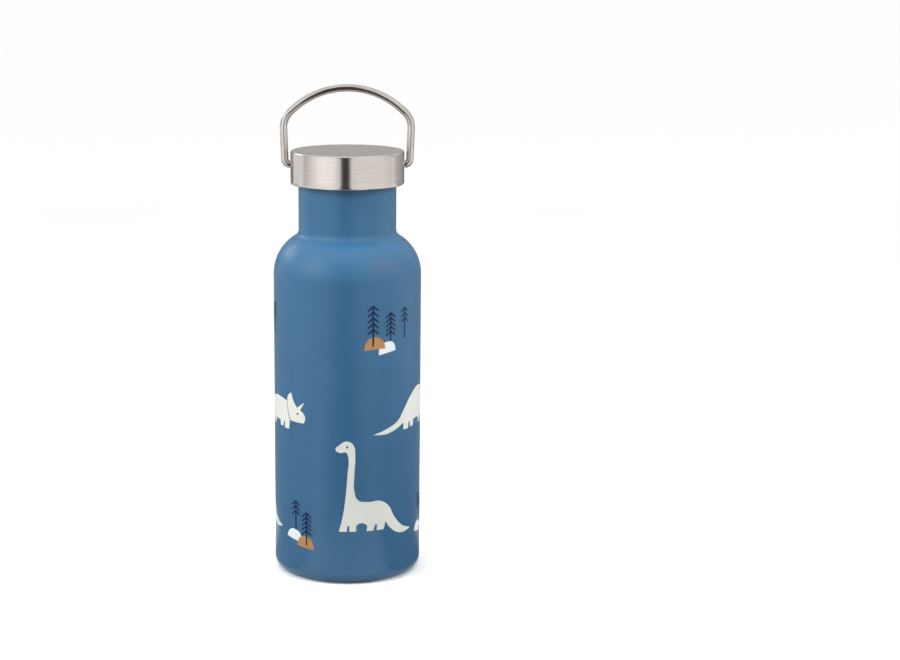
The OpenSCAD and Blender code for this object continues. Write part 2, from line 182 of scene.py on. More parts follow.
def cut(piece, cutters):
    """Takes the cutters' shapes out of the piece and throws the cutters away."""
    for cutter in cutters:
        hole = piece.modifiers.new("hole", "BOOLEAN")
        hole.operation = "DIFFERENCE"
        hole.solver = "EXACT"
        hole.object = cutter
    deselect_all()
    piece.select_set(True)
    apply_modifiers(piece)
    for cutter in cutters:
        bpy.data.objects.remove(cutter)
    return piece


def joined(name, pieces):
    """One piece from several."""
    deselect_all()
    for piece in pieces:
        piece.select_set(True)
    bpy.context.view_layer.objects.active = pieces[0]
    if len(pieces) > 1:
        bpy.ops.object.join()
    pieces[0].name = name
    return pieces[0]


# ---------------------------------------------------------------------------------------------------------
# Finishes
# ---------------------------------------------------------------------------------------------------------


class Signal:
    """An output socket in a finish's node tree. Arithmetic on it adds Math nodes."""

    def __init__(self, finish, socket):
        self.finish = finish
        self.socket = socket

    def math(self, operation, first, second=None):
        inputs = {0: first} if second is None else {0: first, 1: second}
        return self.finish.add("ShaderNodeMath", {"operation": operation}, inputs)

    def __add__(self, other):
        return self.math("ADD", self, other)

    def __radd__(self, other):
        return self.math("ADD", other, self)

    def __sub__(self, other):
        return self.math("SUBTRACT", self, other)

    def __rsub__(self, other):
        return self.math("SUBTRACT", other, self)

    def __mul__(self, other):
        return self.math("MULTIPLY", self, other)

    def __rmul__(self, other):
        return self.math("MULTIPLY", other, self)

    def __pow__(self, other):
        return self.math("POWER", self, other)


class Finish:
    """A material in the making: its nodes, its shader and the one way to add a node."""

    def __init__(self, name, constants):
        self.material = bpy.data.materials.new(name)
        self.material.use_nodes = True
        self.nodes = self.material.node_tree.nodes
        self.links = self.material.node_tree.links
        self.shader = self.nodes["Principled BSDF"]
        for label, value in constants.items():
            self.shader.inputs[label].default_value = value

    def add(self, kind, settings=None, inputs=None, output=0):
        """A node of the kind: its settings first, then the values and links of its inputs."""
        node = self.nodes.new(kind)
        for label, value in (settings or {}).items():
            setattr(node, label, value)
        for label, value in (inputs or {}).items():
            if isinstance(value, Signal):
                self.links.new(value.socket, node.inputs[label])
            else:
                node.inputs[label].default_value = value
        return Signal(self, node.outputs[output])

    def place(self):
        """Where the surface is, in metres."""
        return self.add("ShaderNodeTexCoord", output="Object")

    def parts(self):
        """The surface's place as three signals."""
        split = self.add("ShaderNodeSeparateXYZ", inputs={0: self.place()})
        return [Signal(self, out) for out in split.socket.node.outputs]

    def noise(self, scale, stretched=(1, 1, 1), detail=2, roughness=0.5):
        """Noise with features about 1/scale of a metre across, drawn out along an axis where stretched is
        small."""
        place = self.add("ShaderNodeMapping", inputs={"Vector": self.place(), "Scale": stretched})
        return self.add(
            "ShaderNodeTexNoise",
            {"noise_dimensions": "3D"},
            {"Vector": place, "Scale": scale, "Detail": detail, "Roughness": roughness},
        )

    def range(self, signal, low_in, high_in, low_out=0.0, high_out=1.0, smooth=False):
        return self.add(
            "ShaderNodeMapRange",
            {"interpolation_type": "SMOOTHSTEP" if smooth else "LINEAR", "clamp": True},
            {"Value": signal, "From Min": low_in, "From Max": high_in, "To Min": low_out, "To Max": high_out},
        )

    def spread(self, noise, low_out=0.0, high_out=1.0):
        """The middle of a noise, where most of it lies, drawn out to a new range."""
        return self.range(noise, 0.3, 0.7, low_out, high_out)

    def mix(self, factor, first, second):
        """A colour between two colours."""
        return self.add(
            "ShaderNodeMix",
            {"data_type": "RGBA"},
            {0: factor, 6: first, 7: second},
            output=2,
        )

    def bump(self, height, distance, strength=1.0, under=None):
        """Relief whose full height is distance, in millimetres."""
        inputs = {"Height": height, "Distance": distance * MM, "Strength": strength}
        if under:
            inputs["Normal"] = under
        return self.add("ShaderNodeBump", inputs=inputs)

    def drive(self, label, signal):
        self.links.new(signal.socket, self.shader.inputs[label])


def linear(red, green, blue):
    """A colour for the shader from its usual 0 to 255 values."""

    def channel(value):
        share = value / 255
        return share / 12.92 if share <= 0.04045 else ((share + 0.055) / 1.055) ** 2.4

    return (channel(red), channel(green), channel(blue), 1.0)


def shaded(colour, share):
    return (*(min(1.0, c * share) for c in colour[:3]), 1.0)


PAINT_BLUE = linear(46, 94, 130)
BARE_STEEL = linear(196, 190, 185)
BARE_BAND_Z = RIM_Z - 3.6


def powder_coat():
    """Satin blue powder coat: fine orange peel, slightly uneven colour, and a bare edge at the mouth."""
    finish = Finish("powder_coat", {"Roughness": 0.34, "Specular IOR Level": 0.4})
    patches = finish.noise(60, detail=3)
    grains = finish.noise(2600, detail=2)
    peel = finish.noise(900, detail=1)
    _, _, z = finish.parts()
    bare = finish.range(z, (BARE_BAND_Z - 0.15) * MM, (BARE_BAND_Z + 0.15) * MM, smooth=True)
    turning = finish.noise(1, stretched=(40, 40, 9000), detail=2)
    paint = finish.mix(
        finish.spread(patches), shaded(PAINT_BLUE, 0.96), shaded(PAINT_BLUE, 1.04)
    )
    paint = finish.mix(finish.range(grains, 0.62, 0.8, 0, 0.12), paint, linear(120, 160, 196))
    steel = finish.mix(finish.spread(turning), shaded(BARE_STEEL, 0.9), shaded(BARE_STEEL, 1.05))
    finish.drive("Base Color", finish.mix(bare, paint, steel))
    finish.drive("Metallic", bare)
    satin = finish.spread(patches, 0.315, 0.35) + finish.range(grains, 0.4, 0.7, -0.02, 0.03)
    finish.drive("Roughness", satin * (1 - bare) + finish.spread(turning, 0.24, 0.36) * bare)
    relief = finish.bump(peel, 0.02, 0.35)
    relief = finish.bump(grains, 0.006, 0.6, relief)
    relief = finish.bump(1 - bare, 0.08, 1.0, relief)
    finish.drive("Normal", relief)
    return finish.material


def ink(name, colour):
    """Screen-printed ink: matt, with a faint grain and slightly uneven cover."""
    finish = Finish(name, {"Roughness": 0.5, "Specular IOR Level": 0.25})
    cover = finish.noise(1400, detail=3, roughness=0.6)
    patches = finish.noise(180, detail=2)
    tone = finish.mix(finish.spread(patches), shaded(colour, 0.97), shaded(colour, 1.02))
    tone = finish.mix(finish.range(cover, 0.6, 0.8, 0, 0.1), tone, shaded(colour, 0.8))
    finish.drive("Base Color", tone)
    finish.drive("Roughness", finish.spread(cover, 0.44, 0.56))
    finish.drive("Normal", finish.bump(cover, 0.006, 0.6))
    return finish.material


def brushed_round(name, colour, smooth, rough):
    """Steel brushed while it turns: fine lines run round the piece."""
    finish = Finish(name, {"Metallic": 1.0})
    lines = finish.noise(1, stretched=(45, 45, 14000), detail=3, roughness=0.65)
    broad = finish.noise(1, stretched=(18, 18, 1800), detail=2)
    patches = finish.noise(90, detail=2)
    tone = finish.mix(finish.range(lines, 0.32, 0.68), shaded(colour, 0.93), shaded(colour, 1.05))
    tone = finish.mix(finish.range(broad, 0.35, 0.7, 0, 0.5), tone, shaded(colour, 0.96))
    finish.drive("Base Color", tone)
    gloss = finish.spread(lines, smooth, rough) + finish.spread(patches, -0.02, 0.02)
    finish.drive("Roughness", gloss)
    finish.drive("Normal", finish.bump(lines, 0.004, 0.7))
    return finish.material


def lid_steel():
    """The lid's steel: lines run round its side, and rings round its top."""
    finish = Finish("lid_steel", {"Metallic": 1.0})
    x, y, z = finish.parts()
    radius = (x * x + y * y) ** 0.5
    side_lines = finish.noise(1, stretched=(45, 45, 14000), detail=3, roughness=0.65)
    ring_place = finish.add("ShaderNodeCombineXYZ", inputs={0: radius, 1: x * 0.004, 2: y * 0.004})
    rings = finish.add(
        "ShaderNodeTexNoise",
        {"noise_dimensions": "3D"},
        {"Vector": ring_place, "Scale": 9000, "Detail": 2, "Roughness": 0.6},
    )
    top = finish.range(z, (LID_TOP_Z - 0.5) * MM, (LID_TOP_Z - 0.1) * MM)
    lines = side_lines * (1 - top) + rings * top
    patches = finish.noise(70, detail=2)
    tone = finish.mix(finish.range(lines, 0.32, 0.68), linear(190, 183, 178), linear(218, 211, 206))
    finish.drive("Base Color", tone)
    gloss = finish.spread(lines, 0.12, 0.2) + finish.spread(patches, -0.01, 0.01)
    finish.drive("Roughness", gloss + top * 0.16)
    finish.drive("Normal", finish.bump(lines, 0.003, 0.6))
    return finish.material


def wire_steel():
    """Bright drawn wire: nearly polished, with faint marks from bending."""
    finish = Finish("wire_steel", {"Metallic": 1.0})
    patches = finish.noise(120, detail=2)
    scuffs = finish.noise(260, detail=4, roughness=0.6)
    tone = finish.mix(finish.spread(patches), linear(190, 183, 178), linear(204, 198, 193))
    finish.drive("Base Color", tone)
    gloss = finish.spread(patches, 0.13, 0.17) + finish.range(scuffs, 0.6, 0.8, 0, 0.12)
    finish.drive("Roughness", gloss)
    finish.drive("Normal", finish.bump(scuffs, 0.002, 0.3))
    return finish.material


def moulded_plastic():
    """Off-white moulded plastic with a fine spark-eroded grain."""
    finish = Finish(
        "moulded_plastic",
        {"Roughness": 0.45, "Subsurface Weight": 0.05, "Subsurface Scale": 0.002},
    )
    grain = finish.noise(2200, detail=2)
    flow = finish.noise(50, detail=3)
    tone = finish.mix(finish.spread(flow), linear(228, 226, 218), linear(238, 236, 229))
    finish.drive("Base Color", tone)
    finish.drive("Roughness", finish.spread(grain, 0.4, 0.5))
    finish.drive("Normal", finish.bump(grain, 0.012, 0.5))
    return finish.material


def silicone():
    """Soft white silicone with a dull skin and a little dust."""
    finish = Finish("silicone", {"Roughness": 0.5, "Subsurface Weight": 0.2, "Subsurface Scale": 0.003})
    skin = finish.noise(1500, detail=3)
    dust = finish.noise(320, detail=2)
    tone = finish.mix(finish.range(dust, 0.55, 0.8), linear(226, 226, 222), linear(206, 206, 201))
    finish.drive("Base Color", tone)
    finish.drive("Roughness", finish.spread(skin, 0.42, 0.58))
    finish.drive("Normal", finish.bump(skin, 0.01, 0.6))
    return finish.material


def seal_glass():
    """Dark glass solder with small bubbles near its skin."""
    finish = Finish("seal_glass", {"Roughness": 0.08, "Coat Weight": 0.3})
    bubbles = finish.noise(3500, detail=1)
    tone = finish.mix(finish.range(bubbles, 0.6, 0.75), linear(44, 52, 60), linear(96, 106, 112))
    finish.drive("Base Color", tone)
    finish.drive("Normal", finish.bump(bubbles, 0.01, 0.4))
    return finish.material


def sintered_metal():
    """Pressed and sintered powder: dark, dull and grainy."""
    finish = Finish("sintered_metal", {"Metallic": 0.6, "Roughness": 0.7})
    grains = finish.noise(4000, detail=4, roughness=0.7)
    tone = finish.mix(finish.spread(grains), linear(70, 67, 65), linear(118, 114, 110))
    finish.drive("Base Color", tone)
    finish.drive("Roughness", finish.spread(grains, 0.6, 0.85))
    finish.drive("Normal", finish.bump(grains, 0.04, 0.8))
    return finish.material


def rigid_foam():
    """Cut rigid foam with open cells, with painted shade in the cell hollows."""
    finish = Finish("rigid_foam", {"Roughness": 0.9})
    cells = finish.add(
        "ShaderNodeTexVoronoi",
        {"feature": "F1"},
        {"Vector": finish.place(), "Scale": 1800.0},
    )
    # Painted shade: the colour darkens towards each cell's middle, where the bump below sinks into a hollow.
    tone = finish.mix(finish.range(cells, 0.1, 0.6), linear(224, 216, 188), linear(240, 234, 212))
    finish.drive("Base Color", tone)
    finish.drive("Normal", finish.bump(cells, 0.15, 0.8))
    return finish.material


def coat(piece, material):
    """Gives the whole piece one finish."""
    piece.data.materials.clear()
    piece.data.materials.append(material)


# ---------------------------------------------------------------------------------------------------------
# The bottle's walls
# ---------------------------------------------------------------------------------------------------------

HOLLOW = (NECK_R + HOLLOW_R, NECK_FOOT_Z)
SHOULDER_X = BODY_R - SHOULDER_R
SHOULDER_Z = NECK_FOOT_Z - math.sqrt((SHOULDER_R + HOLLOW_R) ** 2 - (HOLLOW[0] - SHOULDER_X) ** 2)
SHOULDER_A = math.degrees(math.atan2(NECK_FOOT_Z - SHOULDER_Z, HOLLOW[0] - SHOULDER_X))
SHOULDER = (SHOULDER_X, SHOULDER_Z)


def wall_outline(inset):
    """The outside of the bottle from the base's weld to the mouth, moved inwards by inset."""
    foot = (BODY_R - inset, WELD_Z)
    top = (NECK_R - inset, SHELL_TOP_Z)
    shoulder = arc(SHOULDER, SHOULDER_R - inset, 0, SHOULDER_A, 40)
    hollow = arc(HOLLOW, HOLLOW_R + inset, 180 + SHOULDER_A, 180, 16)
    return [foot, *stretch(foot, shoulder[0], 24), *shoulder, *hollow[1:], *stretch(hollow[-1], top, 6), top]


def outer_shell():
    outside = wall_outline(INK_DEPTH)
    inside = wall_outline(OUTER_WALL)
    piece = turned("bottle_wall", outside + inside[::-1], sides=256)
    coat(piece, PAINTED)
    return piece


BASE_CORNER_R = 5.6
FOOT_RING_W = 4.6
FOOT_ROLL_R = 0.9
RECESS_H = 2.6
RECESS_STEP = 8
RECESS_BEND_R = 0.5
SEAL_HOLE_R = 0.95


def base_outline(inset):
    """The pressed base from the edge of its hole, over the foot ring, to the weld."""
    corner = (BODY_R - BASE_CORNER_R, BASE_CORNER_R)
    ring_r = corner[0] - FOOT_RING_W
    recess_edge = (ring_r - 1.9, RECESS_H - RECESS_BEND_R)
    inner_bend = arc(recess_edge, RECESS_BEND_R + inset, 90, 20, 5)
    ring_bend = arc((ring_r + 0.2, FOOT_ROLL_R), FOOT_ROLL_R - inset, 200, 270, 8)
    edge = arc(corner, BASE_CORNER_R - inset, -90, 0, 24)
    floor_z = RECESS_H + inset
    recess = [(SEAL_HOLE_R, floor_z), (RECESS_STEP, floor_z)]
    return [*recess, *inner_bend, *ring_bend, *edge, (BODY_R - inset, WELD_Z)]


def outer_base():
    outside = base_outline(0)
    paint_skin = [(r - INK_DEPTH if r > BODY_R - BASE_CORNER_R else r, z) for r, z in outside]
    piece = turned("base_cup", paint_skin + base_outline(OUTER_WALL)[::-1], sides=256)
    coat(piece, PAINTED)
    return piece


def base_plate():
    lowest = low("base_plate").z
    top = high("base_plate").z
    edge_r = high("base_plate").x
    wall = 0.5
    bend = 0.8
    flat_r = edge_r - 4
    centre = (edge_r - bend, lowest + bend)
    outside = [(0, lowest), (flat_r, lowest), *arc(centre, bend, -90, 0, 8), (edge_r, top)]
    inside = [
        (edge_r - wall, top),
        *arc(centre, bend - wall, 0, -90, 4),
        (flat_r, lowest + wall),
        (0, lowest + wall),
    ]
    piece = turned("base_cover", outside + inside, sides=192)
    coat(piece, SPUN_STEEL)
    return piece


# ---------------------------------------------------------------------------------------------------------
# The liner and its rolled thread
# ---------------------------------------------------------------------------------------------------------

RIM_BEAD_R = 0.7
MOUTH_R = NECK_R - 2 * RIM_BEAD_R
THREAD_PITCH = 4.0
THREAD_HALF = 0.7
THREAD_RUN = 1.5
THREAD_GAP = 0.4
THREAD_MARGIN = 0.01
NECK_BORE_R = MOUTH_R - THREAD_HALF
NECK_THREAD_TOP = RIM_Z - 2.4
NECK_THREAD_LOW = NECK_THREAD_TOP - 10
PLUG_THREAD_TOP = NECK_THREAD_TOP - 0.5
PLUG_THREAD_LOW = PLUG_THREAD_TOP - 8
PLUG_R = NECK_BORE_R - THREAD_GAP
PLUG_ROOT_R = PLUG_R - THREAD_HALF
LINER_R = high("inner_liner").x
LINER_LOW = low("liner_base").z
LINER_WELD_Z = low("inner_liner").z


def fade(distance, run=THREAD_RUN):
    """A share from 0 to 1 that rises smoothly over the run."""
    share = min(max(distance / run, 0), 1)
    return (1 - math.cos(math.pi * share)) / 2


def thread_wave(height, angle):
    """The wave of a right-handed thread."""
    return math.cos(angle - math.tau * (height - RIM_Z) / THREAD_PITCH)


def neck_radius(height, angle):
    top = fade(NECK_THREAD_TOP - height)
    foot = fade(height - NECK_THREAD_LOW)
    return NECK_BORE_R + THREAD_HALF * (1 - top) + THREAD_HALF * top * foot * thread_wave(height, angle)


def plug_radius(height, angle):
    share = fade(PLUG_THREAD_TOP - height) * fade(height - PLUG_THREAD_LOW)
    return PLUG_R - THREAD_HALF * (1 - share) + THREAD_HALF * share * thread_wave(height, angle)


def roll_thread(piece, lowest, highest, widest, radius_at, offset_at):
    """Moves the points of a turned wall between two heights onto the thread's wave."""
    for vertex in piece.data.vertices:
        x, y, z = vertex.co / MM
        distance = math.hypot(x, y)
        if lowest < z < highest and distance < widest:
            share = (radius_at(z, math.atan2(y, x)) + offset_at(distance)) / distance
            vertex.co.x *= share
            vertex.co.y *= share


def inner_liner():
    """Drawn liner: shoulder, neck with its thread, and the mouth rolled over onto the outer wall."""
    neck_r = NECK_BORE_R + LINER_WALL
    shoulder_r = LINER_R - SHOULDER_X
    hollow_r = 5.0
    hollow_x = neck_r + hollow_r
    hollow_z = SHOULDER_Z + math.sqrt((shoulder_r + hollow_r) ** 2 - (hollow_x - SHOULDER_X) ** 2)
    angle = math.degrees(math.atan2(hollow_z - SHOULDER_Z, hollow_x - SHOULDER_X))

    def side(inset):
        foot = (LINER_R - inset, LINER_WELD_Z)
        shoulder = arc(SHOULDER, shoulder_r - inset, 0, angle, 28)
        hollow = arc((hollow_x, hollow_z), hollow_r + inset, 180 + angle, 180, 12)
        straight = neck_r - inset
        top = (straight, NECK_THREAD_TOP)
        low_end = (straight, NECK_THREAD_LOW)
        return [
            foot,
            *stretch(foot, shoulder[0], 16),
            *shoulder,
            *hollow[1:],
            *stretch(hollow[-1], low_end, 4),
            low_end,
            *stretch(low_end, top, 44),
        ]

    mouth = (MOUTH_R, NECK_THREAD_TOP)
    bead = arc((NECK_R - RIM_BEAD_R, RIM_Z - RIM_BEAD_R), RIM_BEAD_R, 180, 0, 16)
    mouth_outer_r = MOUTH_R + LINER_WALL
    under = [(NECK_R, SHELL_TOP_Z), (mouth_outer_r, SHELL_TOP_Z), (mouth_outer_r, NECK_THREAD_TOP)]
    outline = [*side(LINER_WALL), mouth, *stretch(mouth, bead[0], 4), *bead, *under, *side(0)[::-1]]
    piece = turned("steel_liner", outline, sides=192)
    middle = NECK_BORE_R + LINER_WALL / 2
    roll_thread(
        piece,
        NECK_THREAD_LOW - THREAD_MARGIN,
        NECK_THREAD_TOP - THREAD_MARGIN,
        NECK_R - 1.3,
        neck_radius,
        lambda distance: LINER_WALL if distance > middle else 0,
    )
    coat(piece, LINER_STEEL)
    return piece


def liner_base():
    corner_r = 6.0
    dome = 1.0
    corner = (LINER_R - corner_r, LINER_LOW + corner_r)
    flat_r = corner[0] - 3

    def side(inset):
        lift = LINER_LOW + inset
        step = [(flat_r - 4 + 4 * i / 8, lift + dome * (1 - fade(i, 8))) for i in range(9)]
        bend = arc(corner, corner_r - inset, -90, 0, 16)
        return [(0, lift + dome), *step, *bend, (LINER_R - inset, LINER_WELD_Z)]

    piece = turned("liner_bottom", side(0) + side(LINER_WALL)[::-1], sides=192)
    coat(piece, LINER_STEEL)
    return piece


# ---------------------------------------------------------------------------------------------------------
# The lid
# ---------------------------------------------------------------------------------------------------------


def lid_shell():
    """Drawn cup with a rounded top edge, a bead rolled along its lower edge and two holes for the wire."""
    edge = (LID_R - LID_EDGE_R, LID_TOP_Z - LID_EDGE_R)
    hem = (LID_R - HEM_R, LID_Z + HEM_R)
    inner_r = LID_R - LID_WALL
    hem_start = math.degrees(math.acos((HEM_R - LID_WALL) / HEM_R))
    hem_lap = 0.3
    ceiling = LID_TOP_Z - LID_WALL
    inner_edge = arc(edge, LID_EDGE_R - LID_WALL, 90, 0, 8)
    inside = [(0, ceiling), *stretch((0, ceiling), (edge[0], ceiling), 8), *inner_edge]
    bead = arc(hem, HEM_R, hem_start, 360, 28)
    wall_top = (LID_R, edge[1])
    top = arc(edge, LID_EDGE_R, 0, 90, 14)
    centre = (0, LID_TOP_Z)
    outside = [*bead, *stretch(bead[-1], wall_top, 10), *top, *stretch(top[-1], centre, 10), centre]
    piece = turned("lid_cup", [*inside, (inner_r, bead[0][1] + hem_lap), *outside], sides=256, angle=50)
    hole_r = WIRE_R + WIRE_HOLE_GAP
    start, end = LID_R / 2, LID_R + 4
    cut(piece, [rod_cutter(hole_r, start, end), rod_cutter(hole_r, -end, -start)])
    finish_mesh(piece, 40)
    coat(piece, LID_STEEL)
    return piece


CORE_R = LID_R - LID_WALL - 0.05
SKIRT_BORE_R = NECK_R + 0.6
GASKET_R = high("lid_gasket").x
GASKET_W = 2.9
PLUG_LOW = low("plug_cover").z
COVER_T = 1.6
SOCKET_END_X = 21.2
RING_GAP = 0.05
THREAD_INSET = 0.1
PLUG_BORE_R = high("lid_foam").x + 0.1
FOAM_TOP_Z = high("lid_foam").z
CORE_TOP_Z = high("lid_core").z


def lid_core():
    """One moulding: disc, skirt lining, seat of the ring and the threaded plug."""
    root = PLUG_ROOT_R - THREAD_INSET
    groove_r = GASKET_R + RING_GAP
    groove_z = high("lid_gasket").z + RING_GAP
    groove_bend = 0.3
    flange_z = RIM_Z + 0.4
    flange_bend = 0.15
    low_z = LID_Z + 2 * HEM_R + RING_GAP
    cover_r = PLUG_BORE_R + 0.8
    lip = 0.35
    soft = 0.5
    outline = [
        (0, FOAM_TOP_Z),
        (PLUG_BORE_R, FOAM_TOP_Z),
        (PLUG_BORE_R, PLUG_LOW + COVER_T),
        (cover_r, PLUG_LOW + COVER_T),
        (cover_r, PLUG_LOW),
        *arc((root - soft, PLUG_LOW + soft), soft, -90, 0, 6),
        (root, PLUG_THREAD_LOW),
        *stretch((root, PLUG_THREAD_LOW), (root, PLUG_THREAD_TOP), 44),
        (root, PLUG_THREAD_TOP),
        (root, groove_z - groove_bend),
        *arc((root + groove_bend, groove_z - groove_bend), groove_bend, 180, 90, 4),
        (groove_r, groove_z),
        (groove_r, flange_z + flange_bend),
        *arc((groove_r + flange_bend, flange_z + flange_bend), flange_bend, 180, 270, 4),
        (SKIRT_BORE_R, flange_z),
        (SKIRT_BORE_R, low_z + lip),
        *arc((SKIRT_BORE_R + lip, low_z + lip), lip, 180, 270, 6),
        *arc((CORE_R - lip, low_z + lip), lip, -90, 0, 6),
        (CORE_R, CORE_TOP_Z - LID_EDGE_R),
        (CORE_R - LID_EDGE_R, CORE_TOP_Z),
        (0, CORE_TOP_Z),
    ]
    piece = turned("lid_moulding", outline, sides=192)
    roll_thread(
        piece,
        PLUG_THREAD_LOW - THREAD_MARGIN,
        PLUG_THREAD_TOP + THREAD_MARGIN,
        PLUG_ROOT_R,
        plug_radius,
        lambda distance: -THREAD_INSET if distance < PLUG_BORE_R + 1 else 0,
    )
    socket_r = WIRE_R + WIRE_SOCKET_GAP
    cut(piece, [rod_cutter(socket_r, SOCKET_END_X, LID_R), rod_cutter(socket_r, -LID_R, -SOCKET_END_X)])
    finish_mesh(piece, 40)
    coat(piece, WHITE_PLASTIC)
    return piece


def lid_gasket():
    bottom = low("lid_gasket").z
    top = high("lid_gasket").z
    inner_r = GASKET_R - GASKET_W
    edge = 0.4
    outline = [
        *arc((GASKET_R - edge, bottom + edge), edge, -90, 0, 8),
        *arc((GASKET_R - edge, top - edge), edge, 0, 90, 8),
        *arc((inner_r + edge, top - edge), edge, 90, 180, 8),
        *arc((inner_r + edge, bottom + edge), edge, 180, 270, 8),
    ]
    piece = turned("sealing_ring", outline, sides=192)
    coat(piece, SILICONE)
    return piece


def plug_cover():
    """Disc welded into the plug, with a moulded rim and a small mark where it was injected."""
    radius = high("plug_cover").x
    bottom = low("plug_cover").z
    top = high("plug_cover").z
    dish = 0.5
    dish_r = PLUG_BORE_R - 3
    edge = 0.3
    mark_r = 1.1
    mark_h = 0.25
    bend = 0.2
    bend_r = dish_r - 0.5
    chamfer = 0.1
    outline = [
        (0, bottom + dish - mark_h),
        (mark_r, bottom + dish - mark_h),
        (mark_r + 0.3, bottom + dish),
        (bend_r, bottom + dish),
        *arc((bend_r, bottom + dish - bend), bend, 90, 0, 3),
        (dish_r, bottom + chamfer),
        (dish_r + chamfer, bottom),
        *arc((radius - edge, bottom + edge), edge, -90, 0, 6),
        (radius, top),
        (0, top),
    ]
    piece = turned("plug_disc", outline, sides=128)
    coat(piece, WHITE_PLASTIC)
    return piece


# ---------------------------------------------------------------------------------------------------------
# The handle
# ---------------------------------------------------------------------------------------------------------

CROWN_A = 42.0
SLOPE = 2.0
KNEE_R = 10.0
LEG_LEAN = 2.0
FOOT_BEND_R = 2.6
HANDLE_H = high("handle").z - PIVOT_Z
HANDLE_HALF = high("handle").x - WIRE_R
PIN_TIP_X = 21.7
TIP_CHAMFER = 0.35


def handle():
    """The wire is bent from one end to the other: pin, foot, leg, knee, slope, crown, and the same back."""
    knee_a = 90 - CROWN_A + LEG_LEAN
    foot_a = 90 - LEG_LEAN
    knee_out = KNEE_R * (1 - math.sin(math.radians(CROWN_A)))
    crown_x = HANDLE_HALF - knee_out - SLOPE * math.cos(math.radians(CROWN_A))
    crown_r = crown_x / math.sin(math.radians(CROWN_A))
    crown_drop = crown_r * (1 - math.cos(math.radians(CROWN_A)))
    knee_x = HANDLE_HALF - KNEE_R * (1 - math.cos(math.radians(LEG_LEAN)))
    knee_drop = KNEE_R * (math.cos(math.radians(CROWN_A)) + math.sin(math.radians(LEG_LEAN)))
    top_z = PIVOT_Z + HANDLE_H - WIRE_R
    leg_top_z = top_z - crown_drop - SLOPE * math.sin(math.radians(CROWN_A)) - knee_drop
    leg = (leg_top_z - PIVOT_Z - FOOT_BEND_R * (1 - math.sin(math.radians(LEG_LEAN)))) / math.cos(
        math.radians(LEG_LEAN)
    )
    pin_x = knee_x - leg * math.sin(math.radians(LEG_LEAN)) - FOOT_BEND_R * math.cos(math.radians(LEG_LEAN))
    half = [
        ("bend", FOOT_BEND_R, foot_a, 14),
        ("run", leg, 0, 10),
        ("bend", KNEE_R, knee_a, 18),
        ("run", SLOPE, 0, 3),
    ]
    deselect_all()
    bpy.ops.mesh.primitive_circle_add(
        vertices=40,
        radius=(WIRE_R - TIP_CHAMFER) * MM,
        fill_type="TRIFAN",
        location=(-PIN_TIP_X * MM, 0, PIVOT_Z * MM),
        rotation=(0, math.pi / 2, 0),
    )
    piece = bpy.context.object
    piece.name = "wire_handle"
    bpy.ops.object.transform_apply(location=True, rotation=True, scale=True)
    bpy.ops.object.mode_set(mode="EDIT")
    bpy.ops.mesh.select_all(action="SELECT")
    bpy.ops.mesh.region_to_loop()
    place = Vector((-PIN_TIP_X, 0, PIVOT_Z))
    heading = 180.0

    def run(length):
        nonlocal place
        step = Vector((math.cos(math.radians(heading)), 0, math.sin(math.radians(heading)))) * length
        bpy.ops.mesh.extrude_region_move(TRANSFORM_OT_translate={"value": step * MM})
        place = place + step

    def bend(radius, angle, steps):
        """Turns the wire's end about a centre on its right."""
        nonlocal place, heading
        side = math.radians(heading - 90)
        centre = place + Vector((math.cos(side), 0, math.sin(side))) * radius
        bpy.ops.mesh.spin(
            steps=steps,
            angle=-math.radians(angle),
            center=centre * MM,
            axis=(0, 1, 0),
        )
        heading -= angle
        back = math.radians(heading + 90)
        place = centre + Vector((math.cos(back), 0, math.sin(back))) * radius

    grow = WIRE_R / (WIRE_R - TIP_CHAMFER)
    run(TIP_CHAMFER)
    bpy.ops.transform.resize(value=(1, grow, grow), center_override=tuple(place * MM))
    run(pin_x - PIN_TIP_X - TIP_CHAMFER)
    for kind, size, angle, steps in [*half, ("bend", crown_r, 2 * CROWN_A, 48), *half[::-1]]:
        if kind == "bend":
            bend(size, angle, steps)
        else:
            for _ in range(steps):
                run(size / steps)
    run(pin_x - PIN_TIP_X - TIP_CHAMFER)
    run(TIP_CHAMFER)
    bpy.ops.transform.resize(value=(1, 1 / grow, 1 / grow), center_override=tuple(place * MM))
    bpy.ops.mesh.edge_face_add()
    bpy.ops.object.mode_set(mode="OBJECT")
    finish_mesh(piece, 40)
    coat(piece, WIRE_STEEL)
    return piece


# ---------------------------------------------------------------------------------------------------------
# The printed pattern. Its shapes are drawn flat in millimetres: x along the wall, to the right as it is
# seen, and z upwards. A third number marks a corner.
# ---------------------------------------------------------------------------------------------------------

FILM_T = 0.1
TOP_LAYER = 3
LAYER_STEP = 0.015

LONG_NECK = [
    (-14.7, 65.9), (-13.0, 68.0), (-9.4, 69.9), (-6.4, 68.2), (-5.5, 63.5), (-5.9, 54.0), (-5.9, 46.0),
    (-4.2, 41.6), (1.0, 40.4), (6.6, 40.4), (11.2, 37.6), (14.6, 31.8), (19.8, 26.4), (26.4, 23.8, 0),
    (18.8, 22.9),
    (12.2, 26.6), (9.7, 30.2, 0), (8.6, 26.3, 0), (5.0, 26.3, 0), (5.2, 29.2, 0), (4.2, 29.3, 0),
    (3.3, 26.3, 0), (0.0, 26.3, 0), (-0.2, 29.4), (-4.6, 29.5), (-5.0, 26.3, 0), (-8.2, 26.3, 0),
    (-8.2, 29.2, 0), (-9.1, 29.0, 0), (-9.6, 26.3, 0), (-13.2, 26.3, 0), (-11.4, 33.5), (-9.9, 44.0),
    (-9.1, 54.0), (-8.7, 62.0), (-9.8, 64.6), (-12.6, 64.4),
]
